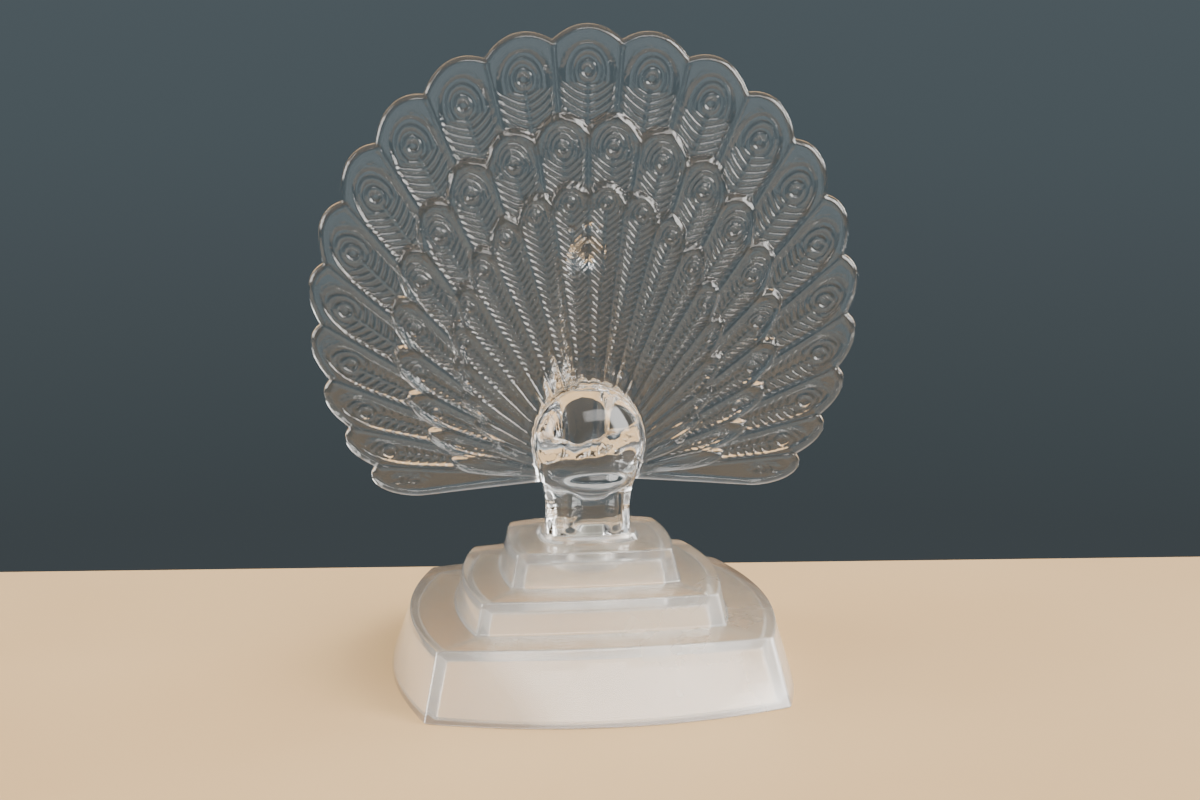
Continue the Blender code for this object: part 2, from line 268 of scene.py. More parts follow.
def face_height(x, z, strength, step_width):
    """How far a face of the fan stands in front of the outer row's flat face."""
    outer, _ = row_relief(OUTER, x, z, strength)
    middle, middle_in = row_relief(MIDDLE, x, z, strength)
    inner, inner_in = row_relief(INNER, x, z, strength)
    # A row sinks a little just before it passes under the next one.
    outer = outer - 0.45 * MM * np.exp(np.minimum(middle_in, 0) / (3.5 * MM)) * strength
    middle = middle - 0.40 * MM * np.exp(np.minimum(inner_in, 0) / (3.0 * MM)) * strength
    height = outer
    # The steps are steeper on the fan's flanks than on its crown.
    turn = np.abs(np.arctan2(x, z - ROOT_Z))
    step_width = step_width * (1 - 0.42 * ease((turn - 0.45) / 0.75))
    for upper, inward, level in ((middle, middle_in, 1), (inner, inner_in, 2)):
        # The step up is a slope that eases into the row's face, thickest at the tips.
        lift = 1 - (1 - np.clip(inward / step_width, 0, 1)) ** 1.7
        lip = 0.45 * MM * strength * np.exp(-np.maximum(inward, 0) / (6.0 * MM))
        risen = level * ROW_STEP + lip + upper
        height = np.where(inward > 0, height + (risen - height) * lift, height)
    return height


# The neck on the breast side: height, rise above the fan and half width, in millimetres.
NECK_STATIONS = ((96.0, 20.0, 26.0), (112.0, 20.0, 27.0), (120.0, 18.5, 27.0),
                 (126.0, 16.0, 27.0), (132.0, 13.0, 26.5), (140.0, 9.6, 25.0),
                 (150.0, 7.2, 23.0), (160.0, 5.8, 21.5), (170.0, 5.2, 20.0),
                 (182.0, 5.0, 18.0), (192.0, 4.8, 15.0), (199.0, 0.0, 11.0))
NECK_Z, NECK_RISE, NECK_REACH = zip(*NECK_STATIONS)
HEAD_Z = 193.0 * MM
CREST_LEANS = (-26, 0, 26)      # degrees from upright


def bird_rise(x, z):
    """How far the neck, head, beak and crest stand above the fan's breast side."""
    high = z / MM
    rise = np.interp(high, NECK_Z, NECK_RISE, left=0.0, right=0.0) * MM
    width = np.interp(high, NECK_Z, NECK_REACH) * MM
    neck = rise * np.cos(np.clip(x / width, -1, 1) * math.pi / 2) ** 2
    # Shallow scales down the neck and breast, each row set half a scale over.
    row = z / (4.2 * MM)
    shift = np.mod(np.floor(row), 2) / 2
    column = np.mod(x / (5.0 * MM) + shift, 1.0) - 0.5
    drop = np.mod(row, 1.0) - 0.5
    scale = 0.30 * MM * np.cos(column * math.pi) ** 2 * np.cos(drop * math.pi) ** 2
    scale = scale * ease((z - 134 * MM) / (8 * MM)) * ease((184 * MM - z) / (6 * MM))
    neck = neck + scale * ease(neck / (3 * MM))
    head = np.maximum(1 - (x / (10.0 * MM)) ** 2 - ((z - HEAD_Z) / (10.4 * MM)) ** 2, 0)
    head = 5.5 * MM * head
    bridge = np.maximum(1 - (x / (3.4 * MM)) ** 2 - ((z - 191 * MM) / (6.0 * MM)) ** 2, 0)
    beak = 8.0 * MM * bridge
    eyes = sum(0.7 * MM * np.exp(-((x - side) ** 2 + (z - 196 * MM) ** 2) / (1.3 * MM) ** 2)
               for side in (-5.2 * MM, 5.2 * MM))
    bird = soft_max(soft_max(neck, head, 2.5 * MM), beak, 1.2 * MM) + eyes
    for lean in CREST_LEANS:
        lean = math.radians(lean)
        along = x * math.sin(lean) + (z - HEAD_Z) * math.cos(lean)
        across = x * math.cos(lean) - (z - HEAD_Z) * math.sin(lean)
        stalk = 0.8 * MM * np.exp(-(across / (0.8 * MM)) ** 2) * ease((17 * MM - along) / (2 * MM))
        bead = 1.3 * MM * np.exp(-(across ** 2 + (along - 15.5 * MM) ** 2) / (2.1 * MM) ** 2)
        bird = np.maximum(bird, (stalk + bead) * ease(along / (3 * MM)))
    return bird


def fan_y(x, z, edge, far):
    """Position of the near or far face, rounded off towards the fan's edge."""
    outside = np.maximum(rump_distance(x, z), 0)
    if far:
        height = face_height(x, z, FAR_STRENGTH, FAR_STEP)
    else:
        height = face_height(x, z, 1.0, NEAR_STEP)
    flare = 1.6 * MM * np.exp(-outside / (6.0 * MM)) + 2.2 * MM * np.exp(-outside / (2.2 * MM))
    height = height * ease(outside / (6.0 * MM)) + flare + wobble(x, z + 0.4 if far else z)
    half = (FAN_FAR_Y - FAN_NEAR_Y) / 2 + height
    half = np.maximum(half, 1.2 * MM) * dome(edge, RIM_RADIUS)
    if far:
        return FAN_MID_Y + half + bird_rise(x, z)
    return FAN_MID_Y - half


# ---- fan mesh ------------------------------------------------------------

def inside_polygon(px, pz, loop_x, loop_z):
    """Whether each point lies in a closed loop, by counting crossings."""
    inside = np.zeros(len(px), dtype=bool)
    for x0, z0, x1, z1 in zip(loop_x, loop_z, np.roll(loop_x, -1), np.roll(loop_z, -1)):
        if z0 != z1:
            crosses = ((z0 > pz) != (z1 > pz)) & (px < x0 + (pz - z0) * (x1 - x0) / (z1 - z0))
            inside ^= crosses
    return inside


def fan_mesh():
    columns = OUTLINE_POINTS
    bearing = np.linspace(-math.pi, math.pi, columns, endpoint=False)
    radius = fan_outline_radius(bearing)
    turn = np.gradient(np.concatenate((radius[-1:], radius, radius[:1])))[1:-1]
    turn = turn / (2 * math.pi / columns) / radius
    stretch = np.sqrt(1 + np.clip(turn, -1.6, 1.6) ** 2)
    kernel = np.ones(15) / 15
    padded = np.concatenate((stretch[-7:], stretch, stretch[:7]))
    stretch = np.convolve(padded, kernel, mode="valid")

    def edge_distance(x, z):
        """Distance in from the fan's edge."""
        rise = z - HUB_Z
        here = np.arctan2(x, rise)
        along = (here + math.pi) / (2 * math.pi) * columns
        low = np.floor(along).astype(int)
        part = along - low
        edge_radius = radius[low % columns] * (1 - part) + radius[(low + 1) % columns] * part
        factor = stretch[low % columns] * (1 - part) + stretch[(low + 1) % columns] * part
        return (edge_radius - np.hypot(x, rise)) / factor

    # Rings that follow the outline, close together where the edge turns over.
    turns = np.linspace(0, math.pi / 2, RIM_RINGS)
    depths = list(RIM_RADIUS * (1 - np.cos(turns))) + [RIM_RADIUS + 0.5 * MM]
    ring_x = []
    ring_z = []
    for depth in depths:
        here = radius - depth * stretch
        ring_x.append(here * np.sin(bearing))
        ring_z.append(HUB_Z + here * np.cos(bearing))
    inner_depth = depths[-1]

    # Regular grid inside them.
    nx = int(2 * 131 * MM / GRID) + 1
    nz = int(226 * MM / GRID) + 1
    xs = (np.arange(nx) - (nx - 1) / 2) * GRID
    zs = 78 * MM + np.arange(nz) * GRID
    grid_x, grid_z = np.meshgrid(xs, zs)
    deep = edge_distance(grid_x, grid_z) > inner_depth + 0.6 * GRID
    cell = deep[:-1, :-1] & deep[1:, :-1] & deep[:-1, 1:] & deep[1:, 1:]
    used = np.zeros_like(deep)
    used[:-1, :-1] |= cell
    used[1:, :-1] |= cell
    used[:-1, 1:] |= cell
    used[1:, 1:] |= cell
    number = -np.ones(deep.shape, dtype=int)
    number[used] = np.arange(used.sum())
    rows, cols = np.nonzero(cell)
    quads = np.stack((number[rows, cols], number[rows, cols + 1],
                      number[rows + 1, cols + 1], number[rows + 1, cols]), axis=1)
    flat_x = grid_x[used]
    flat_z = grid_z[used]
    grid_count = len(flat_x)

    # Stitch the grid's stepped border to the innermost ring.
    edges = np.concatenate([quads[:, [k, (k + 1) % 4]] for k in range(4)])
    keys = np.sort(edges, axis=1)
    _, index, counts = np.unique(keys, axis=0, return_index=True, return_counts=True)
    border = edges[index[counts == 1]]
    border_ids = np.unique(border)
    lookup = {int(v): i for i, v in enumerate(border_ids)}
    points = [Vector((flat_x[v] * 1000, flat_z[v] * 1000)) for v in border_ids]
    segments = [(lookup[int(a)], lookup[int(b)]) for a, b in border]
    ring_start = len(points)
    points += [Vector((x * 1000, z * 1000)) for x, z in zip(ring_x[-1], ring_z[-1])]
    segments += [(ring_start + i, ring_start + (i + 1) % columns) for i in range(columns)]
    _, _, faces, origins, _, _ = delaunay_2d_cdt(points, segments, [], 0, 1e-7)
    ids = [border_ids[o[0]] if o[0] < ring_start else grid_count + o[0] - ring_start
           for o in origins]
    middles = np.array([[sum(points[origins[v][0]][k] for v in face) / len(face) / 1000
                         for k in (0, 1)] for face in faces])
    column = ((middles[:, 0] - xs[0]) / GRID).astype(int)
    line = ((middles[:, 1] - zs[0]) / GRID).astype(int)
    covered = cell[np.clip(line, 0, cell.shape[0] - 1), np.clip(column, 0, cell.shape[1] - 1)]
    within = inside_polygon(middles[:, 0], middles[:, 1], ring_x[-1], ring_z[-1])
    corners = np.array([[points[origins[v][0]] for v in face] for face in faces])
    along = corners[:, 1] - corners[:, 0]
    over = corners[:, 2] - corners[:, 0]
    flat = np.abs(along[:, 0] * over[:, 1] - along[:, 1] * over[:, 0]) < 1e-5
    stitch = [[int(ids[v]) for v in face]
              for face, keep in zip(faces, within & ~covered & ~flat) if keep]

    # One face: grid points, then the rings from the inside out.
    side_x = np.concatenate([flat_x] + ring_x[::-1])
    side_z = np.concatenate([flat_z] + ring_z[::-1])
    side_edge = np.concatenate([edge_distance(flat_x, flat_z)]
                               + [np.full(columns, depth) for depth in depths[::-1]])
    near_y = fan_y(side_x, side_z, side_edge, False)
    far_y = fan_y(side_x, side_z, side_edge, True)
    near_y[-columns:] = FAN_MID_Y
    total = len(side_x)
    shared = total - columns

    band = []
    for ring in range(len(depths) - 1):
        start = grid_count + ring * columns
        for i in range(columns):
            j = (i + 1) % columns
            band.append((start + i, start + columns + i, start + columns + j, start + j))
    band = np.array(band)

    def far_ids(faces_in):
        faces_in = np.asarray(faces_in)
        return np.where(faces_in >= shared, faces_in, faces_in + total)

    near_polys = [quads, band]
    far_polys = [far_ids(quads)[:, ::-1], far_ids(band)[:, ::-1]]
    near_tris = np.array(stitch)
    far_tris = far_ids(near_tris)[:, ::-1]
    points = np.concatenate((np.stack((side_x, near_y, side_z), axis=1),
                             np.stack((side_x, far_y, side_z), axis=1)[:shared]))
    quad_faces = np.concatenate(near_polys + far_polys)
    tri_faces = np.concatenate((near_tris, far_tris))
    mesh = bpy.data.meshes.new("fan")
    mesh.from_pydata(points.tolist(), [], quad_faces.tolist() + tri_faces.tolist())
    bm = bmesh.new()
    bm.from_mesh(mesh)
    bmesh.ops.recalc_face_normals(bm, faces=bm.faces)
    bm.to_mesh(mesh)
    bm.free()
    return mesh


# ---- general mesh helpers ------------------------------------------------

def loft(rings, name):
    """Closed solid through rings of equal point count, bottom to top."""
    rings = np.asarray(rings)
    layers, count, _ = rings.shape
    faces = []
    for layer in range(layers - 1):
        start = layer * count
        for i in range(count):
            j = (i + 1) % count
            faces.append((start + i, start + j, start + count + j, start + count + i))
    faces.append(tuple(range(count))[::-1])
    faces.append(tuple(range((layers - 1) * count, layers * count)))
    mesh = bpy.data.meshes.new(name)
    mesh.from_pydata(rings.reshape(-1, 3).tolist(), [], faces)
    bm = bmesh.new()
    bm.from_mesh(mesh)
    bmesh.ops.recalc_face_normals(bm, faces=bm.faces)
    bm.to_mesh(mesh)
    bm.free()
    return mesh


def add_object(name, mesh):
    obj = bpy.data.objects.new(name, mesh)
    bpy.context.scene.collection.objects.link(obj)
    return obj


def boolean(target, tool_mesh, operation, solver="EXACT"):
    """Apply a boolean at once and drop the tool."""
    tool = add_object("tool", tool_mesh)
    modifier = target.modifiers.new("cut", "BOOLEAN")
    modifier.operation = operation
    modifier.solver = solver
    modifier.object = tool
    bpy.context.view_layer.update()
    result = bpy.data.meshes.new_from_object(
        target.evaluated_get(bpy.context.evaluated_depsgraph_get()))
    target.modifiers.clear()
    target.data = result
    bpy.data.objects.remove(tool, do_unlink=True)


def pipe(path, radii, name, sides=28):
    """Closed round rod along a path of points that never runs along X."""
    path = [Vector(p) for p in path]
    rings = []
    side = Vector((1, 0, 0))
    for i, point in enumerate(path):
        ahead = path[min(i + 1, len(path) - 1)] - path[max(i - 1, 0)]
        ahead.normalize()
        up = ahead.cross(side).normalized()
        flat = up.cross(ahead).normalized()
        ring = []
        for k in range(sides):
            turn = 2 * math.pi * (k + 0.5) / sides
            ring.append(point + (flat * math.cos(turn) + up * math.sin(turn)) * radii[i])
        rings.append([tuple(p) for p in ring])
    return loft(rings, name)


# ---- body ----------------------------------------------------------------

# The stem, from its foot into the rump: height, half width and half depth, in millimetres.
STEM_STATIONS = ((61.3, 19.8, 14.8), (66.0, 20.0, 14.8), (74.0, 19.6, 14.6),
                 (82.0, 20.6, 15.4), (90.0, 22.2, 17.0), (98.0, 23.0, 18.0),
                 (112.0, 20.0, 15.0))
STEM_Z, STEM_HALF_WIDTH, STEM_HALF_DEPTH = zip(*STEM_STATIONS)
SQUARENESS = 3.6
CHAMFER_SLOPE = math.radians(39.0)


def body_field(x, y, z):
    """Negative inside the rump, stem and breast, in rough metres."""
    half_width = np.interp(z / MM, STEM_Z, STEM_HALF_WIDTH) * MM
    half_depth = np.interp(z / MM, STEM_Z, STEM_HALF_DEPTH) * MM
    section = ((np.abs(x) / half_width) ** SQUARENESS
               + (np.abs(y - BODY_Y) / half_depth) ** SQUARENESS) ** (1 / SQUARENESS)
    stem = (section - 1) * half_depth
    # Broad slanting faces between the stem's front and its sides.
    corner_x = half_width * 0.44
    slant = ((np.abs(x) - corner_x) * math.sin(CHAMFER_SLOPE)
             + (np.abs(y - BODY_Y) - half_depth) * math.cos(CHAMFER_SLOPE))
    fade = 6.0 * MM * ease((z / MM - 84.0) / 14.0)
    stem = soft_max(stem, slant - fade, 2.0 * MM)
    # The stem's front is a hollow flute between two rounded ridges.
    flute = 3.4 * MM * (1 - ease((np.abs(x - 1.5 * MM) - 4.6 * MM) / (4.6 * MM)))
    ridges = 2.6 * MM * np.exp(-((np.abs(x - 1.0 * MM) - 11.0 * MM) / (2.3 * MM)) ** 2)
    lumps = 0.22 * MM * np.sin(z * 900 + x * 300) * np.sin(x * 700 - z * 500)
    reach = ease((90 * MM - z) / (8 * MM)) * ease((z - 64 * MM) / (5 * MM)) * (y < BODY_Y)
    stem = stem + (flute - ridges + lumps * ease((-x - 4 * MM) / (4 * MM))) * reach
    cap = z - 108 * MM
    stem = soft_max(stem, cap, 4 * MM)
    rump = (np.sqrt((x / 26.5) ** 2 + ((y - 3.0 * MM) / 20.0) ** 2
                    + ((z - 107 * MM) / 27.5) ** 2) / MM - 1) * 20 * MM
    low = (z - 97 * MM) / np.where(z < 97 * MM, 15.0, 26.0)
    breast = (np.sqrt((x / 21.0) ** 2 + ((y - 15.0 * MM) / 23.0) ** 2
                      + low ** 2) / MM - 1) * 21 * MM
    face_y = np.maximum(38.0 * MM - 1.0 * np.maximum(z - 96 * MM, -2 * MM), 28.0 * MM)
    breast = soft_max(breast, (y - face_y) * 0.72, 2.0 * MM)
    under = (np.sqrt(((x - 1.0 * MM) / 15.0) ** 2 + ((y + 6.5 * MM) / 11.0) ** 2
                     + ((z - 91.5 * MM) / 7.0) ** 2) / MM - 1) * 7 * MM
    whole = soft_min(stem, rump, 2.5 * MM)
    whole = soft_min(whole, under, 1.2 * MM)
    # Upright flutes down the breast side, under the neck.
    flutes = 0.22 * MM * np.cos(x * 2 * math.pi / (5.2 * MM)) * ease((y - 14 * MM) / (8 * MM))
    flutes = flutes * ease((z - 92 * MM) / (5 * MM)) * ease((112 * MM - z) / (4 * MM))
    return soft_min(whole, breast + flutes, 2.0 * MM)


def body_mesh():
    sides = 160
    turn = 2 * math.pi * (np.arange(sides) + 0.5) / sides
    rings = []
    for z in np.concatenate((np.linspace(61.3, 133.0, 110), np.linspace(133.2, 135.3, 9))):
        z = z * MM
        low = np.zeros(sides)
        high = np.full(sides, 45 * MM)
        middle_y = np.interp(z / MM, (61.3, 100.0, 135.0), (9.0, 9.0, 9.5)) * MM
        if body_field(np.array([0.0]), np.array([middle_y]), np.array([z]))[0] > 0:
            break
        for _ in range(30):
            half = (low + high) / 2
            inside = body_field(half * np.cos(turn), middle_y + half * np.sin(turn), z) < 0
            low = np.where(inside, half, low)
            high = np.where(inside, high, half)
        rings.append(np.stack((low * np.cos(turn), middle_y + low * np.sin(turn),
                               np.full(sides, z)), axis=1))
    return loft(rings, "body")


def build_peacock():
    peacock = add_object("peacock_glass", fan_mesh())
    body = add_object("body", body_mesh())
    tip_z = STEM_FOOT_Z - TENON_LENGTH
    tenon = pipe([(0, BODY_Y, tip_z), (0, BODY_Y, tip_z + 0.8 * MM),
                  (0, BODY_Y, STEM_FOOT_Z + 2 * MM)],
                 [TENON_RADIUS - 0.6 * MM, TENON_RADIUS, TENON_RADIUS], "tenon", 64)
    boolean(body, tenon, "UNION")
    boolean(peacock, body.data.copy(), "UNION", "MANIFOLD")
    bpy.data.objects.remove(body, do_unlink=True)
    peacock.data.shade_smooth()
    peacock.data.set_sharp_from_angle(angle=math.radians(60))
    return peacock


# ---- plinth --------------------------------------------------------------

# A tier's outline: half width at its front and back corners, front and back corner
# positions along Y, and how far its front, back and sides bow out, in millimetres.
TIER_FOOTS = ((82.0, 82.0, -74.0, 75.0, 15.0, 14.0, 12.0),
              (57.0, 56.0, -45.5, 49.5, 2.8, 9.0, 7.0),
              (39.0, 38.5, -23.8, 36.2, 2.8, 8.0, 3.0))
TIER_TOPS = ((75.5, 72.0, -63.5, 65.5, 5.0, 12.0, 11.5),
             (54.0, 52.5, -43.5, 47.5, 2.5, 9.0, 7.0),
             (36.0, 35.0, -21.5, 34.0, 2.8, 8.0, 3.0))
TIER_HEIGHTS = (30.0, 45.0, 61.0)
WALL = 6.2
ROOF = 6.0
EDGE_ROUND = 0.9
FILLET = 1.1                    # where a tier stands on the one below
RIM_CHAMFER = 0.8               # inner edge of the ground rim
HOLLOW_ROUND = 1.6              # under each tier's roof
CORNER_CUT = 2.4                # length of a side that each rounded corner takes
COLLAR_HALF_WIDTH = 20.0
COLLAR_HALF_DEPTH = 15.0
# The lip round the stem's foot: how far it stands out, and its height above the top tier.
COLLAR_PROFILE = ((3.9, -2.0), (3.9, 0.2), (3.2, 1.0), (2.6, 1.9), (2.2, 2.6), (1.6, 2.95),
                  (1.0, 3.0))
# The boss under the socket: radius, and its height above the socket's floor.
BOSS_PROFILE = ((15.4, -4.5), (16.2, -3.7), (16.6, -2.5))
BOSS_TOP_RADIUS = 17.6


def bowed_side(start, end, bow, cut):
    start = np.array(start)
    end = np.array(end)
    chord = end - start
    length = math.hypot(*chord)
    outward = np.array((chord[1], -chord[0])) / length
    trim = cut / length
    points = []
    for i in range(41):
        t = trim + (1 - 2 * trim) * i / 40
        points.append(start + chord * t + outward * (4 * bow * t * (1 - t)))
    return points


def tier_ring(tier, inset, z):
    front_half, back_half, front_y, back_y, front_bow, back_bow, side_bow = tier
    a = (-front_half + inset, front_y + inset)
    b = (front_half - inset, front_y + inset)
    c = (back_half - inset, back_y - inset)
    d = (-back_half + inset, back_y - inset)
    sides = [bowed_side(a, b, front_bow, CORNER_CUT), bowed_side(b, c, side_bow, CORNER_CUT),
             bowed_side(c, d, back_bow, CORNER_CUT), bowed_side(d, a, side_bow, CORNER_CUT)]
    ring = []
    for k in range(4):
        side = sides[k]
        after = sides[(k + 1) % 4]
        ring += side
        # Round the corner with a curve through the point where the two sides meet.
        tangent_in = side[-1] - side[-2]
        tangent_out = after[1] - after[0]
        gap = math.hypot(*(after[0] - side[-1]))
        reach_in = side[-1] + tangent_in / math.hypot(*tangent_in) * gap * 0.55
        reach_out = after[0] - tangent_out / math.hypot(*tangent_out) * gap * 0.55
        for i in range(1, 8):
            t = i / 8
            ring.append(side[-1] * (1 - t) ** 3 + reach_in * 3 * t * (1 - t) ** 2
                        + reach_out * 3 * t * t * (1 - t) + after[0] * t ** 3)
    return [(p[0] * MM, p[1] * MM, z * MM) for p in ring]


def blend_tier(low, high, part):
    return tuple(a + (b - a) * part for a, b in zip(low, high))


def plinth_shell():
    rings = [tier_ring(TIER_FOOTS[0], 1.0, 0.0), tier_ring(TIER_FOOTS[0], 0.3, 0.25),
             tier_ring(TIER_FOOTS[0], 0.0, 1.0)]
    low = 1.0
    for foot, top, high in zip(TIER_FOOTS, TIER_TOPS, TIER_HEIGHTS):
        if low > 1.0:
            # Fillet where this tier stands on the one below.
            for turn in (0, 30, 55, 78):
                turn = math.radians(turn)
                rings.append(tier_ring(foot, -FILLET * (1 - math.sin(turn)),
                                       low + FILLET * (1 - math.cos(turn))))
        start = low + (FILLET if low > 1.0 else 0.0)
        for i in range(9):
            part = i / 8
            z = start + (high - EDGE_ROUND * 1.3 - start) * part
            share = (z - low) / (high - EDGE_ROUND - low)
            rings.append(tier_ring(blend_tier(foot, top, share), 0.0, z))
        for turn in (15, 30, 45, 60, 75, 90):
            turn = math.radians(turn)
            rings.append(tier_ring(top, EDGE_ROUND * 1.3 * (1 - math.cos(turn)),
                                   high - EDGE_ROUND * 1.3 * (1 - math.sin(turn))))
        low = high
    return loft(rings, "plinth_shell")


def plinth_hollow():
    mouth = WALL - RIM_CHAMFER
    rings = [tier_ring(TIER_FOOTS[0], mouth, -2.0), tier_ring(TIER_FOOTS[0], mouth, 0.0)]
    low = 0.0
    first = True
    for foot, top, high in zip(TIER_FOOTS, TIER_TOPS, TIER_HEIGHTS):
        base = RIM_CHAMFER if first else low - ROOF
        ceiling = high - ROOF
        for i in range(7):
            part = i / 6
            z = base + (ceiling - HOLLOW_ROUND - base) * part
            share = (z - low) / (high - low)
            rings.append(tier_ring(blend_tier(foot, top, max(0.0, share)), WALL, z))
        share = (ceiling - HOLLOW_ROUND - low) / (high - low)
        for turn in (20, 40, 60, 90):
            turn = math.radians(turn)
            rings.append(tier_ring(blend_tier(foot, top, share),
                                   WALL + HOLLOW_ROUND * (1 - math.cos(turn)),
                                   ceiling - HOLLOW_ROUND * (1 - math.sin(turn))))
        low = high
        first = False
    return loft(rings, "plinth_hollow")


def stem_section(grow, z):
    """Outline of the stem's foot, grown all round, at a height in millimetres."""
    half_width = COLLAR_HALF_WIDTH + grow
    half_depth = COLLAR_HALF_DEPTH + grow
    ring = []
    for i in range(120):
        angle = 2 * math.pi * (i + 0.5) / 120
        c = math.cos(angle)
        s = math.sin(angle)
        x = half_width * math.copysign(abs(c) ** (2 / SQUARENESS), c)
        y = half_depth * math.copysign(abs(s) ** (2 / SQUARENESS), s)
        ring.append((x * MM, BODY_Y + y * MM, z * MM))
    return ring


def build_plinth():
    plinth = add_object("plinth_glass", plinth_shell())
    boolean(plinth, plinth_hollow(), "DIFFERENCE")
    top = TIER_HEIGHTS[2]
    floor = (STEM_FOOT_Z - TENON_LENGTH - CEMENT_FLOOR - 2 * JOINT_GAP) / MM
    boss_path = [(0, BODY_Y, (floor + rise) * MM) for _, rise in BOSS_PROFILE]
    boss_path.append((0, BODY_Y, (top - 2) * MM))
    boss_radii = [radius * MM for radius, _ in BOSS_PROFILE] + [BOSS_TOP_RADIUS * MM]
    boolean(plinth, pipe(boss_path, boss_radii, "boss", 96), "UNION")
    collar = [stem_section(grow, top + rise) for grow, rise in COLLAR_PROFILE]
    boolean(plinth, loft(collar, "collar"), "UNION")
    bore = [stem_section(JOINT_GAP / MM, z) for z in (top, top + 6)]
    boolean(plinth, loft(bore, "bore"), "DIFFERENCE")
    socket = pipe([(0, BODY_Y, floor * MM), (0, BODY_Y, (top + 1) * MM)],
                  [SOCKET_RADIUS, SOCKET_RADIUS], "socket", 96)
    boolean(plinth, socket, "DIFFERENCE")
    plinth.data.shade_smooth()
    plinth.data.set_sharp_from_angle(angle=math.radians(24))
    return plinth


# ---- materials -----------------------------------------------------------

def new_material(name):
    material = bpy.data.materials.new(name)
    material.use_nodes = True
    tree = material.node_tree
    shader = tree.nodes["Principled BSDF"]
    return material, tree, shader


def add_node(tree, kind, **settings):
    node = tree.nodes.new(kind)
    for key, value in settings.items():
        setattr(node, key, value)
    return node


def noise(tree, scale, detail, stretch=(1, 1, 1), roughness=0.5):
    coords = add_node(tree, "ShaderNodeTexCoord")
    mapping = add_node(tree, "ShaderNodeMapping")
    mapping.inputs["Scale"].default_value = stretch
    texture = add_node(tree, "ShaderNodeTexNoise")
    texture.inputs["Scale"].default_value = scale
    texture.inputs["Detail"].default_value = detail
    texture.inputs["Roughness"].default_value = roughness
    tree.links.new(coords.outputs["Object"], mapping.inputs["Vector"])
    tree.links.new(mapping.outputs["Vector"], texture.inputs["Vector"])
    return texture.outputs["Fac"]


def remap(tree, value, low, high, out_low, out_high):
    node = add_node(tree, "ShaderNodeMapRange")
    node.inputs["From Min"].default_value = low
    node.inputs["From Max"].default_value = high
    node.inputs["To Min"].default_value = out_low
    node.inputs["To Max"].default_value = out_high
    tree.links.new(value, node.inputs["Value"])
    return node.outputs["Result"]


def blend_colour(tree, factor, first, second):
    node = add_node(tree, "ShaderNodeMix", data_type="RGBA")
    node.inputs[6].default_value = (*first, 1)
    node.inputs[7].default_value = (*second, 1)
    tree.links.new(factor, node.inputs[0])
    return node.outputs[2]


def math_node(tree, operation, first, second):
    node = add_node(tree, "ShaderNodeMath", operation=operation)
    for socket, value in zip(node.inputs, (first, second)):
        if isinstance(value, (int, float)):
            socket.default_value = value
        else:
            tree.links.new(value, socket)
    return node.outputs[0]


def let_light_through(tree, shader, share):
    """Shadow rays pass the glass in part, so what stands behind it stays lit."""
    path = add_node(tree, "ShaderNodeLightPath")
    clear = add_node(tree, "ShaderNodeBsdfTransparent")
    clear.inputs["Color"].default_value = (0.95, 0.96, 0.95, 1)
    factor = math_node(tree, "MULTIPLY", path.outputs["Is Shadow Ray"], share)
    mix = add_node(tree, "ShaderNodeMixShader")
    tree.links.new(factor, mix.inputs[0])
    tree.links.new(shader.outputs[0], mix.inputs[1])
    tree.links.new(clear.outputs[0], mix.inputs[2])
    tree.links.new(mix.outputs[0], tree.nodes["Material Output"].inputs["Surface"])


def clear_glass():
    material, tree, shader = new_material("clear_pressed_glass")
    shader.inputs["IOR"].default_value = 1.50
    shader.inputs["Transmission Weight"].default_value = 1.0
    smudge = noise(tree, 22.0, 4.0)
    tree.links.new(remap(tree, smudge, 0.45, 0.75, 0.012, 0.075), shader.inputs["Roughness"])
    tint = blend_colour(tree, noise(tree, 9.0, 2.0), (0.945, 0.963, 0.963), (0.965, 0.968, 0.962))
    tree.links.new(tint, shader.inputs["Base Color"])
    fine = noise(tree, 260.0, 3.0)
    slow = noise(tree, 60.0, 2.0)
    height = math_node(tree, "ADD", math_node(tree, "MULTIPLY", fine, 0.25), slow)
    bump = add_node(tree, "ShaderNodeBump")
    bump.inputs["Strength"].default_value = 0.35
    bump.inputs["Distance"].default_value = 0.00035
    tree.links.new(height, bump.inputs["Height"])
    tree.links.new(bump.outputs["Normal"], shader.inputs["Normal"])
    let_light_through(tree, shader, 0.85)
    return material


